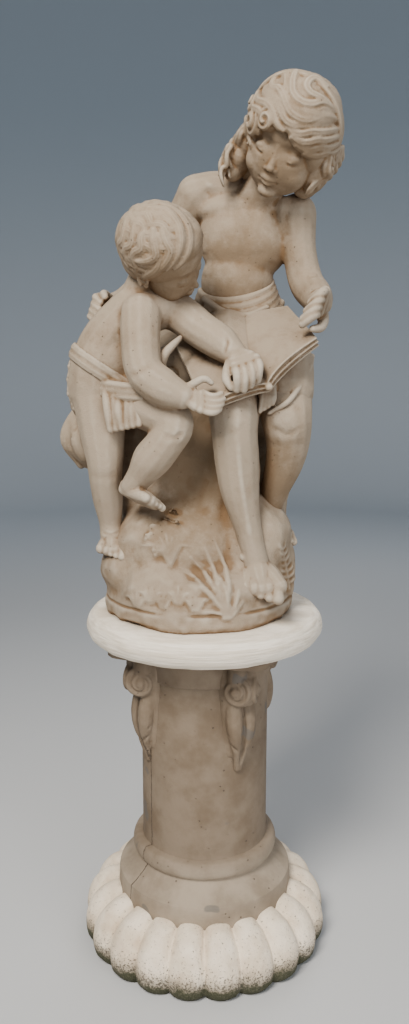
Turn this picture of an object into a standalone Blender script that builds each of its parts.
"""Garden group of two children reading a book, cast in stone, on a round slab and a short column.

Run with: blender --background --python part.py
Metres, +Z up. X runs to the right seen from the front, and the front faces -Y.
"""

import math

import bmesh
import bpy
import numpy as np
from mathutils import Matrix, Vector
from mathutils.bvhtree import BVHTree

# Column and slab
COLUMN_HEIGHT = 0.5475
SHAFT_DIAMETER = 0.217
SHAFT_FOOT_Z = 0.190
RING_DIAMETER = 0.252
RING_HEIGHT = 0.030
RING_NECK_DIAMETER = 0.236
DRUM_DIAMETER = 0.300
DRUM_TOP_Z = 0.126
DRUM_FOOT_DIAMETER = 0.308
LOBE_RING_DIAMETER = 0.432
LOBE_TOP_Z = 0.104
LOBE_COUNT = 21
LOBE_GROOVE = 0.013
LOBE_STEPS = 4
COLLAR_HEIGHT = 0.058
COLLAR_PROUD = 0.004
SCROLL_COUNT = 4
SCROLL_TURN = math.radians(-60)
SCROLL_DIAMETER = 0.058
SCROLL_THICKNESS = 0.030
SCROLL_DROP = 0.048
SCROLL_REACH = 0.020
SCROLL_TRIANGLES = 250
LEAF_LENGTH = 0.132
LEAF_WIDTH = 0.046
LEAF_THICKNESS = 0.017
ABACUS_REACH = 0.182
ABACUS_HOLLOW = 0.126
ABACUS_THICKNESS = 0.010
ABACUS_SINK = 0.0006
SCROLL_EYE = 0.010
SCROLL_CORE_TOP = 0.034
SCROLL_CORE_RADII = (0.022, 0.024, 0.013)
SLAB_DIAMETER = 0.400
SLAB_THICKNESS = 0.050
SEAT_GAP = 0.0003

# The group, which keeps its pose as shares of its own height
GROUP_HEIGHT = 0.846
GROUP_DRAWN_HEIGHT = 0.846
PLINTH_DIAMETER = 0.318
PLINTH_HEIGHT = 0.028
PLINTH_CENTRE_X = -0.009
BAND_CORDS = 3
BAND_WIDTH = 0.022
BAND_SLOPE = math.radians(33)
BAND_REACH = 0.074
BAND_PROUD = 0.002
BODY_VOXEL = 0.0042
DETAIL_VOXEL = 0.0026
GROUP_TRIANGLES = 5400
HEAD_DETAIL = 0.3
HEAD_WEIGHT = 0.5
HEAD_EDGE = 0.62
HEAD_EDGE_LEVELS = 4
HEAD_TILT_OLDER = (-12, 34, 26, 0)
HEAD_TILT_YOUNGER = (66, 2, 9, 50)

LIGHT_STONE = (0.62, 0.56, 0.46, 1.0)
TAN_STONE = (0.42, 0.35, 0.26, 1.0)
PALE_STONE = (0.74, 0.71, 0.64, 1.0)


def clear_scene():
    for old in list(bpy.data.objects):
        bpy.data.objects.remove(old, do_unlink=True)


def stone(name, colour, roughness):
    material = bpy.data.materials.new(name)
    material.use_nodes = True
    shader = material.node_tree.nodes["Principled BSDF"]
    shader.inputs["Base Color"].default_value = colour
    shader.inputs["Roughness"].default_value = roughness
    shader.inputs["Metallic"].default_value = 0.0
    return material


def link(obj, collection, material=None):
    collection.objects.link(obj)
    if material:
        obj.data.materials.clear()
        obj.data.materials.append(material)
    return obj


def made_mesh(source, name):
    """The evaluated shape of an object as a new mesh object, and the source removed."""
    bpy.context.view_layer.update()
    graph = bpy.context.evaluated_depsgraph_get()
    mesh = bpy.data.meshes.new_from_object(source.evaluated_get(graph))
    mesh.transform(source.matrix_world)
    bpy.data.objects.remove(source, do_unlink=True)
    return bpy.data.objects.new(name, mesh)


def flow(stations, steps=5):
    """A smooth line through stations, rows of any number of columns."""
    rows = np.array(stations, float)
    if len(rows) < 3:
        return rows
    padded = np.vstack([2 * rows[0] - rows[1], rows, 2 * rows[-1] - rows[-2]])
    line = []
    for i in range(1, len(padded) - 2):
        a, b, c, d = padded[i - 1 : i + 3]
        for t in np.arange(steps) / steps:
            line.append(
                0.5 * (2 * b + (c - a) * t + (2 * a - 5 * b + 4 * c - d) * t**2 + (3 * b - a - 3 * c + d) * t**3)
            )
    line.append(rows[-1])
    return np.array(line)


class Clay:
    """Overlapping lumps and rolls, put together and then fused into one skin."""

    def __init__(self, scale=1.0, lift=(0.0, 0.0, 0.0)):
        self.lumps = bmesh.new()
        self.taken = []
        self.rolls = bpy.data.curves.new("rolls", "CURVE")
        self.rolls.dimensions = "3D"
        self.rolls.bevel_depth = 1.0
        self.rolls.bevel_resolution = 3
        self.rolls.use_fill_caps = True
        self.scale = scale
        self.lift = np.array(lift)

    def place(self, point):
        return np.array(point, float) * self.scale + self.lift

    def ball(self, centre, radii, turn=None, segments=20):
        """An ellipsoid. turn is a 3 by 3 matrix whose columns are its own axes."""
        radii = np.broadcast_to(np.array(radii, float) * self.scale, 3)
        turn = (turn or Matrix.Identity(3)).to_4x4()
        place = Matrix.Translation(Vector(self.place(centre))) @ turn @ Matrix.Diagonal((*radii, 1.0))
        bmesh.ops.create_uvsphere(self.lumps, u_segments=segments, v_segments=segments // 2, radius=1.0, matrix=place)

    def roll(self, stations, steps=5):
        """A round-ended roll through stations (x, y, z, radius)."""
        line = flow(stations, steps)
        first, last = line[0], line[-1]
        out_first = first[:3] - line[1][:3]
        out_last = last[:3] - line[-2][:3]
        out_first /= max(np.linalg.norm(out_first), 1e-9)
        out_last /= max(np.linalg.norm(out_last), 1e-9)
        angles = np.radians([85, 62, 38, 16])
        head = [[*(first[:3] + out_first * first[3] * math.sin(a)), first[3] * math.cos(a)] for a in angles]
        tail = [[*(last[:3] + out_last * last[3] * math.sin(a)), last[3] * math.cos(a)] for a in angles[::-1]]
        rows = np.vstack([head, line, tail])
        spline = self.rolls.splines.new("POLY")
        spline.points.add(len(rows) - 1)
        points = self.place(rows[:, :3])
        spline.points.foreach_set("co", np.column_stack([points, np.ones(len(rows))]).ravel())
        spline.points.foreach_set("radius", np.maximum(rows[:, 3], 1e-5) * self.scale)

    def add(self, obj):
        """Takes in an object's mesh, as it lies, and removes the object."""
        self.taken.append(obj.data)
        bpy.data.objects.remove(obj, do_unlink=True)

    def fuse(self, name, voxel, smoothing):
        """One closed skin round everything, with its creases softened."""
        holder = bpy.data.objects.new(name + "_rolls", self.rolls)
        bpy.context.scene.collection.objects.link(holder)
        if len(self.rolls.splines):
            rolled = made_mesh(holder, name + "_rolled")
            self.lumps.from_mesh(rolled.data)
            bpy.data.objects.remove(rolled, do_unlink=True)
        else:
            bpy.data.objects.remove(holder, do_unlink=True)
        for taken in self.taken:
            self.lumps.from_mesh(taken)
        mesh = bpy.data.meshes.new(name)
        self.lumps.to_mesh(mesh)
        self.lumps.free()
        rough = bpy.data.objects.new(name, mesh)
        bpy.context.scene.collection.objects.link(rough)
        remesh = rough.modifiers.new("one skin", "REMESH")
        remesh.mode = "VOXEL"
        remesh.voxel_size = voxel * self.scale
        smooth = rough.modifiers.new("soft creases", "SMOOTH")
        smooth.factor = 0.5
        smooth.iterations = smoothing
        return made_mesh(rough, name)


def keep_largest_shell(obj):
    """Drops loose bits and closed bubbles that fusing can leave."""
    bm = bmesh.new()
    bm.from_mesh(obj.data)
    unseen = set(bm.verts)
    shells = []
    while unseen:
        front = [unseen.pop()]
        shell = list(front)
        while front:
            near = [e.other_vert(v) for v in front for e in v.link_edges]
            front = list({v for v in near if v in unseen})
            unseen.difference_update(front)
            shell.extend(front)
        shells.append(shell)
    shells.sort(key=len)
    for shell in shells[:-1]:
        bmesh.ops.delete(bm, geom=shell, context="VERTS")
    bm.to_mesh(obj.data)
    bm.free()


def points_of(obj):
    found = np.empty(len(obj.data.vertices) * 3, np.float32)
    obj.data.vertices.foreach_get("co", found)
    return found.reshape(-1, 3).astype(float)


def normals_of(obj):
    found = np.empty(len(obj.data.vertices) * 3, np.float32)
    obj.data.vertices.foreach_get("normal", found)
    return found.reshape(-1, 3).astype(float)


def move_points(obj, points):
    obj.data.vertices.foreach_set("co", points.astype(np.float32).ravel())
    obj.data.update()


def distance_to_line(points, line):
    """Distance from each point to a line of straight runs, and how far along the line it is, 0 to 1."""
    best = np.full(len(points), np.inf)
    along = np.zeros(len(points))
    runs = np.linalg.norm(np.diff(line, axis=0), axis=1)
    total = runs.sum()
    passed = 0.0
    for a, b, run in zip(line[:-1], line[1:], runs):
        t = np.clip((points - a) @ (b - a) / max(run * run, 1e-12), 0, 1)
        gap = np.linalg.norm(points - a - t[:, None] * (b - a), axis=1)
        nearer = gap < best
        best[nearer] = gap[nearer]
        along[nearer] = (passed + t[nearer] * run) / total
        passed += run
    return best, along


def press(obj, stations, width, depth, ends=0.12):
    """Presses a groove of this width and depth along a line of points. A negative depth raises a ridge."""
    line = flow(np.array(stations, float), 6)
    points = points_of(obj)
    low, high = line.min(0) - 3 * width, line.max(0) + 3 * width
    near = np.where(((points > low) & (points < high)).all(1))[0]
    if not len(near):
        return
    gap, along = distance_to_line(points[near], line)
    fade = np.clip(np.minimum(along, 1 - along) / max(ends, 1e-6), 0, 1)
    push = depth * np.exp(-((gap / width) ** 2)) * (0.25 + 0.75 * fade)
    points[near] -= normals_of(obj)[near] * push[:, None]
    move_points(obj, points)


def dimple(obj, centre, radius, depth, way=None):
    """Sinks a round hollow, or raises a swelling where depth is negative."""
    points = points_of(obj)
    gap = np.linalg.norm(points - np.array(centre), axis=1)
    near = gap < 2.5 * radius
    direction = normals_of(obj)[near] if way is None else np.array(way)
    points[near] -= direction * (depth * np.exp(-((gap[near] / radius) ** 2)))[:, None]
    move_points(obj, points)


def frame_of(turned, bowed, leaning, tipped):
    """A head's own axes as matrix columns: its right, its face and its crown.

    The face starts towards the front. It is bowed forwards, turned towards +X, tipped towards
    the front and then leant clockwise as seen from the front, in degrees.
    """
    pose = Matrix(((-1, 0, 0), (0, -1, 0), (0, 0, 1)))
    for degrees, axis in ((bowed, "X"), (turned, "Z"), (tipped, "X"), (leaning, "Y")):
        pose = Matrix.Rotation(math.radians(degrees), 3, axis) @ pose
    return pose


class Head:
    """A child's head: sizes are shares of its height from chin to crown, places are (right, forward, up)."""

    def __init__(self, centre, pose, height):
        self.centre = np.array(centre)
        self.axes = frame_of(*pose)
        self.turn = np.array(self.axes)
        self.height = height

    def at(self, *place):
        return self.centre + self.turn @ np.array(place) * self.height

    def many(self, places):
        return self.centre + np.array(places) @ self.turn.T * self.height

    def ball(self, clay, place, radii):
        clay.ball(self.at(*place), np.broadcast_to(np.array(radii, float), 3) * self.height, self.axes)

    def roll(self, clay, stations, steps=4):
        rows = np.array(stations, float)
        clay.roll(np.column_stack([self.many(rows[:, :3]), rows[:, 3] * self.height]), steps)


SKULL_CENTRE = np.array([0.0, -0.06, 0.12])
SKULL_RADII = np.array([0.355, 0.42, 0.37])


def skull(clay, head):
    head.ball(clay, SKULL_CENTRE, SKULL_RADII)
    head.ball(clay, (0, 0.11, -0.13), (0.305, 0.25, 0.33))
    head.ball(clay, (0, 0.11, 0.12), (0.30, 0.25, 0.24))
    head.ball(clay, (0, 0.1, -0.29), (0.235, 0.21, 0.16))
    head.ball(clay, (0, 0.25, -0.41), (0.085, 0.07, 0.065))
    for side in (-1, 1):
        head.ball(clay, (side * 0.155, 0.175, -0.21), 0.15)


def features(clay, head):
    """Nose, lips, lowered eyelids and ears."""
    head.roll(
        clay,
        [(0, 0.325, -0.02, 0.028), (0, 0.348, -0.1, 0.030), (0, 0.378, -0.165, 0.038)],
    )
    head.ball(clay, (0, 0.330, -0.285), (0.080, 0.036, 0.021))
    head.ball(clay, (0, 0.324, -0.325), (0.066, 0.036, 0.023))
    for side in (-1, 1):
        head.ball(clay, (side * 0.042, 0.350, -0.185), 0.030)
        head.ball(clay, (side * 0.135, 0.268, -0.055), (0.075, 0.070, 0.058))
        head.ball(clay, (side * 0.345, -0.02, -0.1), (0.035, 0.06, 0.095))


# The two heads: centre, tilt and height from chin to crown
OLDER_HEAD = Head((0.131, -0.034, 0.741), HEAD_TILT_OLDER, 0.178)
YOUNGER_HEAD = Head((-0.058, -0.085, 0.563), HEAD_TILT_YOUNGER, 0.150)


def older_body(clay):
    """Bare torso, arms and legs of the seated child."""
    clay.ball((0.066, 0.052, 0.604), (0.076, 0.052, 0.070))
    clay.ball((0.070, 0.050, 0.648), (0.084, 0.040, 0.032))
    clay.ball((0.054, 0.054, 0.535), (0.060, 0.048, 0.062))
    clay.ball((0.058, 0.070, 0.462), (0.076, 0.062, 0.060))
    clay.roll([(0.074, 0.048, 0.650, 0.036), (0.096, 0.020, 0.684, 0.031), (0.112, -0.01, 0.71, 0.032)])
    clay.roll([(0.074, 0.052, 0.668, 0.030), (0.026, 0.056, 0.682, 0.029), (-0.014, 0.058, 0.676, 0.031)])
    clay.roll(
        [
            (-0.012, 0.060, 0.674, 0.033),
            (-0.050, 0.090, 0.612, 0.030),
            (-0.088, 0.094, 0.552, 0.026),
            (-0.128, 0.052, 0.508, 0.023),
            (-0.153, 0.016, 0.496, 0.0185),
        ]
    )
    clay.roll(
        [
            (0.148, 0.034, 0.640, 0.033),
            (0.153, 0.032, 0.585, 0.028),
            (0.164, 0.026, 0.535, 0.0285),
            (0.176, -0.010, 0.510, 0.027),
            (0.178, -0.052, 0.496, 0.020),
        ]
    )
    older_legs(clay)


def older_legs(clay):
    clay.roll(
        [
            (0.030, 0.060, 0.425, 0.054),
            (0.036, -0.030, 0.384, 0.048),
            (0.044, -0.094, 0.338, 0.041),
            (0.046, -0.104, 0.300, 0.036),
            (0.050, -0.100, 0.258, 0.035),
            (0.055, -0.098, 0.212, 0.031),
            (0.065, -0.098, 0.165, 0.0235),
            (0.075, -0.098, 0.122, 0.021),
            (0.080, -0.096, 0.096, 0.023),
        ]
    )
    clay.roll(
        [
            (0.112, 0.060, 0.425, 0.056),
            (0.122, -0.020, 0.384, 0.048),
            (0.126, -0.076, 0.330, 0.042),
            (0.130, -0.072, 0.290, 0.036),
            (0.126, -0.062, 0.252, 0.031),
            (0.114, -0.046, 0.208, 0.024),
            (0.109, -0.032, 0.172, 0.0175),
            (0.110, -0.028, 0.158, 0.018),
        ]
    )


def foot(clay, heel, ball_joint, toe_way, sideways, width, toes=5, big_first=True):
    """A bare foot from heel to toes. sideways points from the big toe to the little one."""
    heel, ball_joint = np.array(heel, float), np.array(ball_joint, float)
    toe_way = np.array(toe_way, float) / np.linalg.norm(toe_way)
    sideways = np.array(sideways, float) / np.linalg.norm(sideways)
    half = width / 2
    middle = (heel + ball_joint) / 2
    for share, reach in ((-0.45, 1.0), (0.0, 0.98), (0.45, 0.9)):
        end = heel + (ball_joint - heel) * reach + sideways * share * width
        clay.roll(
            [
                (*heel, half * 0.62),
                (*(middle + sideways * share * width * 0.55), half * 0.62),
                (*end, half * 0.5),
            ]
        )
    for i in range(toes):
        share = i / (toes - 1)
        size = half * (0.34 - 0.13 * min(1, share * 2.2))
        start = ball_joint + sideways * (share - 0.5) * width * 0.98 - toe_way * half * (0.1 + 0.5 * share)
        length = half * (1.05 - 0.42 * share)
        clay.roll(
            [
                (*start, size * 1.05),
                (*(start + toe_way * length * 0.55 + np.array([0, 0, size * 0.35])), size),
                (*(start + toe_way * length), size * 0.95),
            ],
            steps=3,
        )


def hand(clay, wrist, knuckles, tips, sideways, width, thumb, curl=(0, 0, 0)):
    """A plump hand: palm from wrist to knuckles, four fingers to tips, and a thumb given by its points."""
    wrist, knuckles, tips = (np.array(p, float) for p in (wrist, knuckles, tips))
    sideways = np.array(sideways, float) / np.linalg.norm(sideways)
    curl = np.array(curl, float)
    size = width / 7.2
    for i in range(4):
        share = i / 3 - 0.5
        base = knuckles + sideways * share * width * 0.78
        tip = tips + sideways * share * width * 0.72
        shorter = 1.0 - 0.22 * abs(share + 0.12)
        tip = base + (tip - base) * shorter
        clay.roll(
            [(*wrist, size * 1.5), (*((wrist + base) / 2 + curl * 0.4), size * 1.55), (*base, size * 1.15)], steps=3
        )
        clay.roll(
            [(*base, size * 1.1), (*((base + tip) / 2 + curl), size * 1.0), (*tip, size * 0.85)],
            steps=4,
        )
    clay.roll([(*p, size * r) for p, r in zip(thumb, (1.6, 1.25, 0.95))], steps=4)


def older_ends(clay):
    """The seated child's feet and hands."""
    foot(clay, (0.080, -0.090, 0.090), (0.088, -0.122, 0.064), (0.06, -0.62, -0.78), (-1, -0.1, -0.05), 0.058)
    foot(clay, (0.110, -0.024, 0.148), (0.130, -0.042, 0.130), (0.60, -0.35, -0.72), (-0.35, -0.75, 0.15), 0.040)
    hand(
        clay,
        (0.179, -0.056, 0.494),
        (0.172, -0.092, 0.492),
        (0.146, -0.112, 0.470),
        (0.35, 0.25, 0.85),
        0.054,
        [(0.178, -0.070, 0.482), (0.176, -0.094, 0.462), (0.166, -0.110, 0.454)],
        (0.006, -0.012, 0.006),
    )
    hand(
        clay,
        (-0.156, 0.014, 0.500),
        (-0.172, -0.010, 0.492),
        (-0.164, -0.044, 0.482),
        (-0.25, -0.2, -0.95),
        0.044,
        [(-0.156, 0.002, 0.508), (-0.158, -0.020, 0.510), (-0.154, -0.038, 0.504)],
        (-0.006, 0.0, 0.004),
    )


def younger_body(clay):
    """Leaning torso, arms and legs of the small child."""
    clay.ball((-0.112, -0.048, 0.470), (0.046, 0.044, 0.042))
    clay.roll(
        [
            (-0.108, -0.050, 0.478, 0.045),
            (-0.143, -0.046, 0.438, 0.049),
            (-0.157, -0.044, 0.402, 0.054),
            (-0.163, -0.042, 0.368, 0.054),
        ]
    )
    clay.ball((-0.176, -0.026, 0.352), (0.038, 0.040, 0.044))
    clay.roll([(-0.106, -0.048, 0.492, 0.032), (-0.095, -0.048, 0.516, 0.030), (-0.078, -0.056, 0.545, 0.032)])
    clay.roll(
        [
            (-0.096, -0.086, 0.478, 0.032),
            (-0.095, -0.112, 0.436, 0.029),
            (-0.088, -0.132, 0.394, 0.028),
            (-0.060, -0.145, 0.371, 0.027),
            (-0.032, -0.153, 0.359, 0.0185),
        ]
    )
    clay.roll(
        [
            (-0.058, -0.034, 0.494, 0.032),
            (-0.026, -0.062, 0.472, 0.029),
            (-0.004, -0.086, 0.454, 0.027),
            (0.024, -0.108, 0.436, 0.025),
            (0.044, -0.124, 0.421, 0.0185),
        ]
    )
    clay.ball((-0.080, -0.052, 0.488), (0.050, 0.042, 0.034))
    clay.roll(
        [
            (-0.164, -0.050, 0.356, 0.045),
            (-0.160, -0.064, 0.302, 0.037),
            (-0.156, -0.072, 0.258, 0.030),
            (-0.156, -0.068, 0.228, 0.0265),
            (-0.154, -0.056, 0.190, 0.0245),
            (-0.152, -0.048, 0.152, 0.0185),
            (-0.150, -0.050, 0.132, 0.0195),
        ]
    )
    clay.roll(
        [
            (-0.128, -0.050, 0.362, 0.042),
            (-0.084, -0.092, 0.342, 0.040),
            (-0.046, -0.120, 0.318, 0.031),
            (-0.058, -0.122, 0.290, 0.029),
            (-0.080, -0.115, 0.262, 0.030),
            (-0.098, -0.108, 0.236, 0.021),
            (-0.110, -0.102, 0.220, 0.018),
        ]
    )


def younger_ends(clay):
    foot(clay, (-0.150, -0.046, 0.126), (-0.148, -0.070, 0.111), (0.05, -0.85, -0.52), (-1, 0.0, 0.03), 0.038)
    foot(clay, (-0.122, -0.096, 0.214), (-0.080, -0.122, 0.198), (0.85, -0.30, -0.42), (-0.25, -0.80, 0.35), 0.034)
    hand(
        clay,
        (-0.032, -0.153, 0.359),
        (-0.004, -0.160, 0.352),
        (0.028, -0.160, 0.352),
        (0.0, -0.45, -0.89),
        0.038,
        [(-0.026, -0.150, 0.366), (-0.010, -0.152, 0.380), (0.006, -0.152, 0.382)],
        (0.0, -0.008, -0.004),
    )
    hand(
        clay,
        (0.044, -0.124, 0.418),
        (0.060, -0.144, 0.404),
        (0.062, -0.160, 0.370),
        (0.90, 0.15, 0.30),
        0.048,
        [(0.042, -0.132, 0.410), (0.034, -0.148, 0.392), (0.036, -0.156, 0.376)],
        (0.002, -0.010, 0.006),
    )


# Corners of the open book: the hinge line, the left page's edge and the right page's edge
BOOK_HINGE = ((0.092, -0.146, 0.374), (0.046, -0.010, 0.462))
BOOK_LEFT = ((0.000, -0.152, 0.344), (-0.046, -0.020, 0.430))
BOOK_RIGHT = ((0.168, -0.108, 0.442), (0.134, 0.004, 0.494))
PAGE_THICKNESS = 0.014


def book_side(hinge, edge, bulge, thickness, across=14, lengthways=8):
    """One half of the open book: a curved block of pages between the hinge and its edge."""
    bm = bmesh.new()
    bmesh.ops.create_grid(bm, x_segments=across, y_segments=lengthways, size=0.5)
    hinge, edge = np.array(hinge), np.array(edge)
    lengthwise = hinge[1] - hinge[0]
    outward = edge[0] - hinge[0]
    up = np.cross(outward, lengthwise)
    up = up / np.linalg.norm(up) * (1 if up[2] > 0 else -1)
    for vert in bm.verts:
        s, t = vert.co.x + 0.5, vert.co.y + 0.5
        near = hinge[0] + (hinge[1] - hinge[0]) * t
        far = edge[0] + (edge[1] - edge[0]) * t
        rise = bulge * math.sin(math.pi * s**0.75) ** 1.0
        vert.co = Vector(near + (far - near) * s + up * rise)
    mesh = bpy.data.meshes.new("pages")
    bmesh.ops.recalc_face_normals(bm, faces=bm.faces)
    bm.to_mesh(mesh)
    bm.free()
    page = bpy.data.objects.new("pages", mesh)
    bpy.context.scene.collection.objects.link(page)
    wall = page.modifiers.new("thickness", "SOLIDIFY")
    wall.thickness = thickness
    wall.offset = 0
    return made_mesh(page, "pages")


def book(clay):
    for side, bulge in ((BOOK_LEFT, 0.008), (BOOK_RIGHT, 0.010)):
        half = book_side(BOOK_HINGE, side, bulge, PAGE_THICKNESS)
        half.data.transform(Matrix.Translation(Vector(clay.lift)) @ Matrix.Scale(clay.scale, 4))
        clay.add(half)


def drapery(clay):
    """Cloth round the seated child's hips and over the rock, and the small child's loin cloth."""
    for k in range(5):
        wide, deep = 0.059 + 0.0045 * k, 0.047 + 0.009 * k
        swag = []
        for i in range(9):
            a = math.radians(-200 + 27.5 * i)
            sag = max(0.0, -math.sin(a))
            z = 0.528 - 0.012 * k - (0.026 + 0.005 * k) * sag + 0.008 * math.cos(a)
            swag.append((0.052 + wide * math.cos(a), 0.056 + deep * math.sin(a), z, 0.008 + 0.0015 * sag))
        clay.roll(swag, steps=3)
    clay.ball((0.062, 0.056, 0.465), (0.076, 0.062, 0.056))
    fall = [(0.088, 0.095, 0.50, 0.020), (0.0, 0.11, 0.47, 0.030)]
    clay.roll([*fall, (-0.09, 0.085, 0.42, 0.030), (-0.15, 0.05, 0.37, 0.026)])
    for k in range(4):
        turn = math.radians(-14 + 9 * k)
        clay.roll(
            [
                (-0.150 - 0.012 * k, 0.040, 0.372 - 0.012 * k, 0.014),
                (-0.196 - 0.010 * k, 0.022 - 0.004 * k, 0.330 - 0.016 * k, 0.015),
                (-0.214 + 0.006 * k, 0.018, 0.278 - 0.012 * k, 0.014),
                (-0.196 + 0.014 * math.sin(turn), 0.030, 0.232, 0.010),
            ]
        )
    # The hanging fold between the thighs, and the hem across the left one
    clay.roll([(0.092, -0.100, 0.372, 0.012), (0.094, -0.116, 0.350, 0.010), (0.092, -0.118, 0.326, 0.006)])
    clay.roll([(0.104, -0.098, 0.376, 0.010), (0.102, -0.112, 0.352, 0.009), (0.098, -0.116, 0.338, 0.006)])
    clay.roll([(0.166, -0.030, 0.404, 0.006), (0.150, -0.086, 0.372, 0.006), (0.110, -0.110, 0.352, 0.006)])
    # The small child's loin cloth: a gathered fall over the front of its hips, and its top hem
    for k in range(4):
        share = k / 3
        top = (-0.150 + 0.052 * share, -0.092 - 0.022 * share, 0.364 - 0.006 * share, 0.012)
        middle = (-0.140 + 0.036 * share, -0.108 - 0.010 * share, 0.338, 0.012)
        low = (-0.126 + 0.018 * share, -0.112 - 0.004 * share, 0.306 + 0.010 * share, 0.007)
        clay.roll([top, middle, low])
    clay.roll([(-0.152, -0.092, 0.372, 0.011), (-0.112, -0.116, 0.366, 0.010), (-0.072, -0.128, 0.366, 0.008)])


def wound(tree, centre, slope, reach, proud, count=17):
    """Places round a body's skin, where a plane through centre that slopes down towards +X cuts it."""
    across = np.array([math.cos(slope), 0.0, -math.sin(slope)])
    places = []
    for i in range(count):
        a = math.tau * i / (count - 1)
        way = across * math.cos(a) + np.array([0.0, math.sin(a), 0.0])
        hit = tree.ray_cast(Vector(centre), Vector(way), reach)[0]
        far = (hit - Vector(centre)).length if hit else reach
        places.append(np.array(centre) + way * (far + proud))
    return np.array(places)


def waist_band(clay, body):
    """Cords of cloth wound low round the small child's trunk."""
    tree = BVHTree.FromPolygons(points_of(body), [tuple(face.vertices) for face in body.data.polygons])
    for k in range(BAND_CORDS):
        share = k / (BAND_CORDS - 1)
        centre = clay.place((-0.150, -0.045, 0.398 - BAND_WIDTH * share))
        cord = (wound(tree, centre, BAND_SLOPE, BAND_REACH, BAND_PROUD) - clay.lift) / clay.scale
        clay.roll([(*place, BAND_WIDTH / BAND_CORDS) for place in cord], steps=3)


def rock(clay):
    """The stump that the seated child rests on, and the ground under both."""
    clay.ball((0.050, 0.062, 0.230), (0.100, 0.080, 0.210))
    clay.ball((0.020, 0.020, 0.330), (0.085, 0.070, 0.070))
    clay.ball((-0.045, 0.050, 0.210), (0.092, 0.084, 0.160))
    clay.ball((-0.010, 0.000, 0.200), (0.090, 0.070, 0.130))
    clay.ball((-0.100, 0.030, 0.225), (0.054, 0.070, 0.175))
    clay.ball((-0.040, -0.030, 0.110), (0.112, 0.090, 0.085))
    clay.ball((0.075, -0.020, 0.110), (0.070, 0.090, 0.095))
    clay.ball((-0.128, -0.018, 0.075), (0.042, 0.076, 0.052))
    clay.ball((0.104, 0.010, 0.080), (0.044, 0.100, 0.075))
    clay.ball((-0.009, 0.040, 0.080), (0.150, 0.112, 0.070))
    clay.ball((-0.060, -0.080, 0.055), (0.074, 0.062, 0.052))
    clay.ball((0.030, -0.088, 0.052), (0.070, 0.058, 0.044))
    # A rib of bark under the hidden foot
    clay.roll([(0.136, -0.034, 0.040, 0.014), (0.136, -0.040, 0.080, 0.013), (0.130, -0.036, 0.112, 0.014)])


def plinth(clay):
    """The low round foot that the ground is modelled on."""
    bm = bmesh.new()
    radius = PLINTH_DIAMETER / 2
    for low, high, wide, narrow in ((0.0, PLINTH_HEIGHT, 1.0, 1.0), (PLINTH_HEIGHT - 0.002, 0.075, 0.985, 0.90)):
        bmesh.ops.create_cone(
            bm,
            cap_ends=True,
            segments=64,
            radius1=radius * wide,
            radius2=radius * narrow,
            depth=high - low,
            matrix=Matrix.Translation((PLINTH_CENTRE_X, 0, (low + high) / 2)),
        )
    mesh = bpy.data.meshes.new("plinth")
    bm.to_mesh(mesh)
    bm.free()
    disc = bpy.data.objects.new("plinth", mesh)
    disc.data.transform(Matrix.Translation(Vector(clay.lift)) @ Matrix.Scale(clay.scale, 4))
    clay.add(disc)


def leaves(clay):
    """Tufts of long leaves and small flowers on the ground between the feet."""
    for k in range(9):
        lean = -0.9 + 0.2 * k
        root = (0.030 + 0.003 * k, -0.138, 0.036)
        tip = (root[0] - 0.020 + 0.045 * lean, -0.100 + 0.010 * abs(lean), 0.118 - 0.030 * abs(lean))
        middle = tuple((a + b) / 2 + c for a, b, c in zip(root, tip, (0.0, -0.012, 0.0)))
        clay.roll([(*root, 0.0045), (*middle, 0.006), (*tip, 0.003)])
    for k in range(6):
        turn = math.radians(60 * k)
        for centre in ((-0.048, -0.075, 0.158), (-0.078, -0.085, 0.130)):
            x, y, z = centre
            clay.ball((x + 0.012 * math.cos(turn), y - 0.010, z + 0.012 * math.sin(turn)), 0.0065, segments=10)


def lock(head, start, end, lift, wave, waves, radius, phase=0.0, tip=0.4, count=9):
    """A wavy strand over the skull from one direction to another, as roll stations."""
    start, end = Vector(start).normalized(), Vector(end).normalized()
    across = start.cross(end)
    across = across.normalized() if across.length > 1e-6 else Vector((0, 0, 1))
    rows = []
    for i in range(count):
        t = i / (count - 1)
        way = start.slerp(end, t)
        sway = wave * math.sin(2 * math.pi * waves * t + phase) * (0.35 + 0.65 * t)
        way = (way + across * sway).normalized()
        reach = lift[0] + (lift[1] - lift[0]) * t
        place = np.array(way) * SKULL_RADII * reach + SKULL_CENTRE
        size = radius * (0.55 + 0.45 * math.sin(math.pi * min(1, t * 1.6 + 0.1))) * (1 - (1 - tip) * t**3)
        rows.append((*place, size))
    return rows


# Waves over the seated child's brow and temples: degrees round from the face's middle to its right
# ear, and degrees up
BROW_WAVES = (
    ((-52, 60), (-20, 68), (-10, 56), (-45, 48), (-84, 26)),
    ((48, 62), (20, 50), (-10, 38), (-42, 44), (-80, 26)),
    ((66, 42), (40, 38), (17, 38), (-8, 26), (-34, 30), (-64, 30), (-88, 16)),
    ((78, 24), (52, 22), (28, 28), (8, 16), (-6, 10)),
    ((-6, 14), (-26, 10), (-50, 16), (-72, 14), (-96, 2)),
    ((-20, -2), (-42, 2), (-64, -4), (-90, -6), (-106, -18)),
    ((80, 6), (58, 2), (40, 8), (26, 0), (28, -10)),
    ((84, -12), (64, -16), (48, -10), (40, -22)),
)


def wave(head, route, lift, radius):
    """A lock over the skull along places given by azimuth and height."""
    rows = []
    for azimuth, height in route:
        a, h = math.radians(azimuth), math.radians(height)
        way = np.array([math.sin(a) * math.cos(h), math.cos(a) * math.cos(h), math.sin(h)])
        rows.append((*(way * SKULL_RADII * lift + SKULL_CENTRE), radius))
    rows[-1] = (*rows[-1][:3], radius * 0.6)
    return rows


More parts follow.
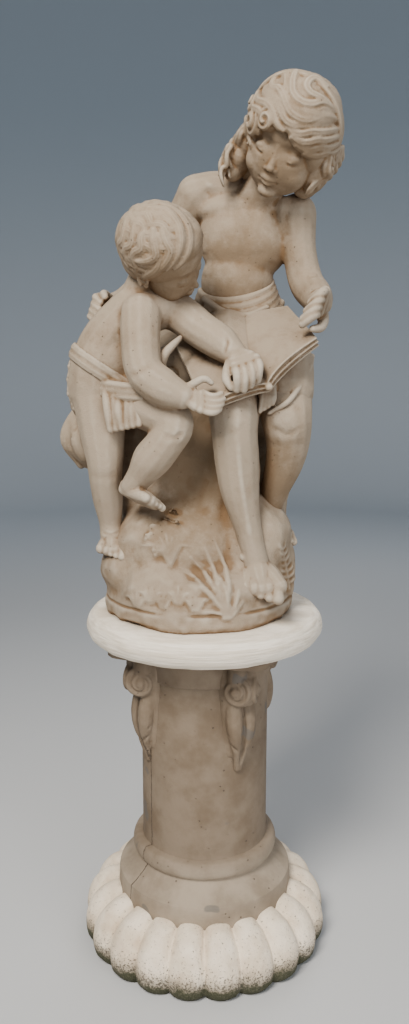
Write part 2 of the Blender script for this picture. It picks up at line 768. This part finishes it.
def hanging(side, top, bow, inward, drop, count, radius):
    """Long waved locks that hang beside the face, bowed outwards."""
    for k in range(count):
        rows = []
        for i in range(9):
            t = i / 8
            turn = 2 * math.pi * (1.5 * t + 0.31 * k)
            x = top + bow * math.sin(math.pi * t) - inward * t + 0.030 * math.sin(turn)
            y = 0.14 - 0.38 * k / (count - 1) + 0.030 * math.cos(turn) + 0.05 * t
            rows.append((side * x, y, -0.01 - drop * t, radius * (1 - 0.35 * t)))
        yield rows


def older_hair(clay, head):
    """Waves swept over brow and temples before a band, a smooth cap behind it, and long side curls."""
    head.ball(clay, (0, -0.075, 0.12), (0.375, 0.425, 0.385))
    head.ball(clay, (0, 0.06, 0.25), (0.315, 0.305, 0.215))
    for side in (-1, 1):
        head.ball(clay, (side * 0.255, 0.02, 0.06), (0.125, 0.23, 0.25))
        head.ball(clay, (side * 0.30, 0.0, -0.14), (0.10, 0.17, 0.22))
    for k, route in enumerate(BROW_WAVES):
        head.roll(clay, wave(head, route, 1.10 + 0.04 * (k % 2), 0.046))
    # The right side's hair is fuller and lower, and lies close to cheek and neck
    for place, radii in (
        ((0.34, 0.03, -0.28), (0.10, 0.15, 0.15)),
        ((0.35, 0.09, -0.42), (0.085, 0.13, 0.10)),
        ((0.24, -0.06, -0.36), (0.12, 0.13, 0.16)),
        ((-0.24, -0.06, -0.32), (0.12, 0.13, 0.14)),
    ):
        head.ball(clay, place, radii)
    for rows in (*hanging(1, 0.385, 0.075, 0.0, 0.47, 6, 0.044), *hanging(-1, 0.390, 0.050, 0.09, 0.33, 6, 0.044)):
        head.roll(clay, rows)
    for k in range(7):
        x = -0.24 + 0.08 * k
        rows = []
        for i in range(7):
            t = i / 6
            y = -0.40 + 0.22 * t + 0.3 * x * x
            rows.append((x + 0.015 * math.sin(5 * t + k), y, -0.02 - 0.40 * t, 0.052 * (1 - 0.3 * t)))
        head.roll(clay, rows)
    band = []
    for i in range(13):
        a = math.radians(-12 + 17 * i)
        band.append((0.396 * math.cos(a), 0.115 * math.sin(a) - 0.02, 0.12 + 0.410 * math.sin(a), 0.030))
    head.roll(clay, band)


def older_shoulder_curls(clay, head):
    """Pointed ends of the long hair, which lie on the right shoulder."""
    for k, end in enumerate(((0.37, 0.38, -0.56), (0.45, 0.29, -0.53), (0.50, 0.16, -0.50), (0.46, 0.03, -0.52))):
        start = np.array((0.43 - 0.012 * k, 0.16 - 0.08 * k, -0.24))
        middle = (start + end) / 2 + np.array((0.035, 0.02, 0.0))
        head.roll(clay, [(*start, 0.055), (*middle, 0.050), (*end, 0.020)])


def younger_hair(clay, head):
    """Short waved locks over a cap, swept round from a whorl behind the crown."""
    head.ball(clay, (0, -0.08, 0.14), (0.385, 0.42, 0.385))
    head.ball(clay, (0, -0.16, -0.04), (0.335, 0.31, 0.30))
    whorl = Vector((0.20, -0.64, 0.74)).normalized()
    side_a = whorl.cross(Vector((1, 0, 0))).normalized()
    side_b = whorl.cross(side_a).normalized()
    for ring, (spread, run, count) in enumerate(((0.10, 0.95, 9), (0.85, 0.85, 13), (1.45, 0.70, 15))):
        for k in range(count):
            a = 2 * math.pi * (k + 0.5 * ring) / count
            start = whorl * math.cos(spread) + (side_a * math.cos(a) + side_b * math.sin(a)) * math.sin(spread)
            b = a + 0.55
            later = side_a * math.cos(b) + side_b * math.sin(b)
            end = whorl * math.cos(spread + run) + later * math.sin(spread + run)
            if start.y > 0.45 and start.z < 0.45:
                continue
            if end.y > 0.62 and end.z < 0.42:
                end.z = 0.42
            if end.z < -0.62:
                end.z = -0.62
            head.roll(clay, lock(head, start, end, (1.10, 1.10), 0.09, 1.0, 0.050, phase=a * 2, tip=0.6))


def fold_lines(group, scale, lift):
    """Creases that show from a step away: mouths, eyelids, elbows, knees and the parting of limbs."""
    for head in (OLDER_HEAD, YOUNGER_HEAD):
        size = head.height * scale
        lines = [([(-0.07, 0.40, -0.312), (0, 0.415, -0.310), (0.07, 0.40, -0.312)], 0.014, 0.016)]
        for side in (-1, 1):
            lid = [(side * 0.205, 0.27, -0.075), (side * 0.14, 0.335, -0.098), (side * 0.075, 0.31, -0.075)]
            lines.append((lid, 0.014, 0.014))
        for line, width, depth in lines:
            places = head.many(line) * scale + lift
            press(group, places, width * size, depth * size)


def plain_surface(group, scale, lift):
    """A vertex group that is lighter at the heads, which keep more of their faces when all is thinned."""
    points = points_of(group)
    gap = np.full(len(points), np.inf)
    for head in (OLDER_HEAD, YOUNGER_HEAD):
        middle = head.centre * scale + lift
        gap = np.minimum(gap, np.linalg.norm(points - middle, axis=1) / (head.height * scale))
    plain = group.vertex_groups.new(name="plain_surface")
    for level in range(HEAD_EDGE_LEVELS + 1):
        share = np.rint(np.clip((gap - HEAD_EDGE) / HEAD_EDGE, 0, 1) * HEAD_EDGE_LEVELS)
        weight = HEAD_WEIGHT + (1 - HEAD_WEIGHT) * level / HEAD_EDGE_LEVELS
        plain.add(np.where(share == level)[0].tolist(), weight, "REPLACE")
    return plain


def model_group(collection, material):
    scale = GROUP_HEIGHT / GROUP_DRAWN_HEIGHT
    lift = np.array([0.0, 0.0, COLUMN_HEIGHT + SEAT_GAP + SLAB_THICKNESS + SEAT_GAP])
    masses = Clay(scale, lift)
    older_body(masses)
    younger_body(masses)
    skull(masses, OLDER_HEAD)
    skull(masses, YOUNGER_HEAD)
    soft = masses.fuse("soft_masses", BODY_VOXEL, 10)
    ground = Clay(scale, lift)
    rock(ground)
    plinth(ground)
    detail = Clay(scale, lift)
    waist_band(detail, soft)
    detail.add(soft)
    detail.add(ground.fuse("ground", BODY_VOXEL, 26))
    older_ends(detail)
    younger_ends(detail)
    features(detail, OLDER_HEAD)
    features(detail, YOUNGER_HEAD)
    book(detail)
    drapery(detail)
    plinth(detail)
    leaves(detail)
    older_hair(detail, OLDER_HEAD)
    older_shoulder_curls(detail, OLDER_HEAD)
    younger_hair(detail, YOUNGER_HEAD)
    group = detail.fuse("children_group", DETAIL_VOXEL, 2)
    keep_largest_shell(group)
    fold_lines(group, scale, lift)
    # The underside is flat where the group rests on the slab
    points = points_of(group)
    points[:, 2] = np.maximum(points[:, 2], lift[2])
    low = points[:, 2] < lift[2] + 1.5 * DETAIL_VOXEL
    points[low, 2] = lift[2]
    move_points(group, points)
    link(group, collection, material)
    faces = len(group.data.polygons) * 2
    thin = group.modifiers.new("fewer faces", "DECIMATE")
    thin.ratio = GROUP_TRIANGLES / faces
    thin.vertex_group = plain_surface(group, scale, lift).name
    thin.vertex_group_factor = HEAD_DETAIL
    group.data.shade_smooth()
    return group


def turned(name, profile, steps):
    """A solid of revolution from a profile of (radius, height), listed from the top down."""
    mesh = bpy.data.meshes.new(name)
    bm = bmesh.new()
    verts = [bm.verts.new((r, 0, z)) for r, z in profile]
    for a, b in zip(verts[:-1], verts[1:]):
        bm.edges.new((a, b))
    bm.to_mesh(mesh)
    bm.free()
    obj = bpy.data.objects.new(name, mesh)
    bpy.context.scene.collection.objects.link(obj)
    screw = obj.modifiers.new("turn", "SCREW")
    screw.steps = steps
    screw.render_steps = steps
    screw.use_merge_vertices = True
    screw.merge_threshold = 0.0001
    return made_mesh(obj, name)


def slab_profile():
    """A flat disc with a full round edge."""
    radius, half = SLAB_DIAMETER / 2, SLAB_THICKNESS / 2
    base = COLUMN_HEIGHT + SEAT_GAP
    rows = [(0.0, base + 2 * half)]
    for k in range(7):
        a = math.radians(90 - 30 * k)
        rows.append((radius - half * 0.9 + half * 0.9 * math.cos(a), base + half + half * math.sin(a)))
    rows.append((0.0, base))
    return rows


def column_profile():
    """Collar, shaft, ring, slope and drum."""
    shaft, ring, neck = SHAFT_DIAMETER / 2, RING_DIAMETER / 2, RING_NECK_DIAMETER / 2
    drum, foot_radius = DRUM_DIAMETER / 2, DRUM_FOOT_DIAMETER / 2
    top = COLUMN_HEIGHT
    rows = [(0.0, top), (shaft + COLLAR_PROUD, top), (shaft + COLLAR_PROUD, top - COLLAR_HEIGHT)]
    rows.append((shaft, top - COLLAR_HEIGHT - COLLAR_PROUD * 0.5))
    rows.append((shaft, SHAFT_FOOT_Z))
    for k in range(5):
        a = math.radians(90 - 45 * k)
        half = RING_HEIGHT / 2
        rows.append((ring - half * 0.6 + half * 0.6 * math.cos(a), SHAFT_FOOT_Z - half + half * math.sin(a)))
    low = SHAFT_FOOT_Z - RING_HEIGHT
    rows.append((neck, low - 0.002))
    rows.append((neck + (drum - neck) * 0.35, low - (low - DRUM_TOP_Z) * 0.55))
    rows.append((drum, DRUM_TOP_Z))
    rows.append((foot_radius, LOBE_TOP_Z - 0.03))
    rows.append((0.0, LOBE_TOP_Z - 0.03))
    return rows


def lobed_foot():
    """The ring of round lobes that the column stands on."""
    outer, inner = LOBE_RING_DIAMETER / 2, DRUM_FOOT_DIAMETER / 2
    rows = [(0.0, LOBE_TOP_Z - 0.012), (inner - 0.012, LOBE_TOP_Z - 0.012)]
    for k in range(6):
        a = math.radians(96 - 27 * k)
        reach = outer - inner
        rows.append((inner + reach * math.cos(a), 0.034 + (LOBE_TOP_Z - 0.034) * math.sin(a)))
    rows[-1] = (outer - 0.012, 0.0)
    rows.append((0.0, 0.0))
    body = turned("lobed_foot", rows, LOBE_COUNT * LOBE_STEPS)
    points = points_of(body)
    radius = np.hypot(points[:, 0], points[:, 1])
    angle = np.arctan2(points[:, 1], points[:, 0])
    wave = np.abs(np.sin((angle + math.pi / 2) * LOBE_COUNT / 2))
    share = np.clip((radius - inner + 0.02) / 0.03, 0, 1)
    inward = LOBE_GROOVE * (1 - wave**0.6) * share
    above = points[:, 2] > 0.0005
    points[:, 0] -= np.cos(angle) * inward
    points[:, 1] -= np.sin(angle) * inward
    points[above, 2] -= (inward * 0.9 * np.clip(points[:, 2] / LOBE_TOP_Z, 0, 1))[above]
    move_points(body, points)
    return body


def abacus():
    """A square plate with hollow sides and cut corners, under the slab."""
    rim = []
    for corner in range(SCROLL_COUNT):
        middle = SCROLL_TURN + corner * math.tau / SCROLL_COUNT
        for k in range(12):
            a = middle + math.radians(-7.5 * 6 + 7.5 * k)
            off = abs(a - middle) / math.radians(45)
            reach = ABACUS_HOLLOW + (ABACUS_REACH - ABACUS_HOLLOW) * max(0, 1 - off * 1.02) ** 1.5
            reach = min(reach, ABACUS_REACH * 0.97)
            rim.append((reach * math.cos(a), reach * math.sin(a)))
    curve = bpy.data.curves.new("abacus", "CURVE")
    curve.dimensions = "2D"
    curve.fill_mode = "BOTH"
    curve.extrude = ABACUS_THICKNESS / 2
    spline = curve.splines.new("POLY")
    spline.points.add(len(rim) - 1)
    for point, (x, y) in zip(spline.points, rim):
        point.co = (x, y, 0.0, 1.0)
    spline.use_cyclic_u = True
    plate = bpy.data.objects.new("abacus", curve)
    plate.location.z = COLUMN_HEIGHT - ABACUS_SINK - ABACUS_THICKNESS / 2
    bpy.context.scene.collection.objects.link(plate)
    plate = made_mesh(plate, "abacus")
    weld(plate)
    return plate


def weld(obj):
    bm = bmesh.new()
    bm.from_mesh(obj.data)
    bmesh.ops.remove_doubles(bm, verts=bm.verts, dist=0.00001)
    bm.to_mesh(obj.data)
    bm.free()


def scroll(angle):
    """A pair of scrolls that meet at a corner of the abacus, with a leaf hanging below."""
    clay = Clay()
    out = Vector((math.cos(angle), math.sin(angle), 0))
    side = Vector((-out.y, out.x, 0))
    up = Vector((0, 0, 1))
    radius = SHAFT_DIAMETER / 2
    centre = out * (radius + SCROLL_REACH) + up * (COLUMN_HEIGHT - ABACUS_THICKNESS - SCROLL_DROP)
    for hand_side in (-1, 1):
        axis = (side * hand_side * 0.80 + out * 0.60).normalized()
        flat = up.cross(axis).normalized()
        turn = Matrix((flat, up, axis)).transposed()
        middle = centre + side * hand_side * SCROLL_THICKNESS * 0.36 - out * 0.003
        clay.ball(middle, (SCROLL_DIAMETER / 2, SCROLL_DIAMETER / 2, SCROLL_THICKNESS / 2), turn)
        eye = SCROLL_DIAMETER * 0.22
        clay.ball(middle + axis * SCROLL_EYE, (eye, eye, SCROLL_EYE), turn)
        rows = []
        for i in range(7):
            t = i / 6
            width = LEAF_WIDTH / 2 * (0.75 + 0.5 * math.sin(math.pi * min(1, 0.15 + t))) * (1 - 0.75 * t**3)
            belly = 0.014 * math.sin(math.pi * (0.1 + 0.9 * t)) + 0.004 * t**2
            place = out * (radius - 0.004 + belly) + side * hand_side * width * 0.45
            place = place + up * (centre.z - 0.012 - LEAF_LENGTH * t)
            rows.append((*place, max(0.006, width * 0.52)))
        clay.roll(rows, steps=3)
        top = centre + up * (SCROLL_DROP * 0.5) - out * 0.004 + side * hand_side * 0.012
        clay.ball(top, (0.016, 0.016, 0.026))
    # A core that ties scroll and leaf to the shaft, with no pocket behind them
    for hand_side in (-1, 0, 1):
        core = out * (radius - 0.010) + side * hand_side * LEAF_WIDTH * 0.24
        high = core + up * (COLUMN_HEIGHT - SCROLL_CORE_TOP)
        low = core + up * (centre.z - LEAF_LENGTH * 0.86)
        stations = (high, core + up * centre.z, low)
        clay.roll([(*station, radius_here) for station, radius_here in zip(stations, SCROLL_CORE_RADII)])
    piece = clay.fuse("scroll", 0.004, 3)
    keep_largest_shell(piece)
    bpy.context.scene.collection.objects.link(piece)
    thin = piece.modifiers.new("fewer faces", "DECIMATE")
    thin.ratio = SCROLL_TRIANGLES / (2 * len(piece.data.polygons))
    return made_mesh(piece, "scroll")


def model_column(collection, material):
    cutters = bpy.data.collections.new("fused_parts")
    bpy.context.scene.collection.children.link(cutters)
    shaft = turned("column", column_profile(), 40)
    link(shaft, collection, material)
    parts = [lobed_foot(), abacus()]
    parts += [scroll(SCROLL_TURN + k * math.tau / SCROLL_COUNT) for k in range(SCROLL_COUNT)]
    for part in parts:
        cutters.objects.link(part)
        part.hide_render = True
        part.display_type = "WIRE"
        joint = shaft.modifiers.new("join " + part.name, "BOOLEAN")
        joint.operation = "UNION"
        joint.object = part
    return shaft


def main():
    clear_scene()
    collection = bpy.data.collections.new("children_garden_statue")
    bpy.context.scene.collection.children.link(collection)
    tan, pale, light = (
        stone("column_stone", TAN_STONE, 0.85),
        stone("slab_stone", PALE_STONE, 0.7),
        stone("group_stone", LIGHT_STONE, 0.85),
    )
    model_column(collection, tan)
    slab = turned("top_slab", slab_profile(), 48)
    link(slab, collection, pale)
    slab.data.shade_smooth()
    slab.data.set_sharp_from_angle(angle=math.radians(35))
    model_group(collection, light)


main()
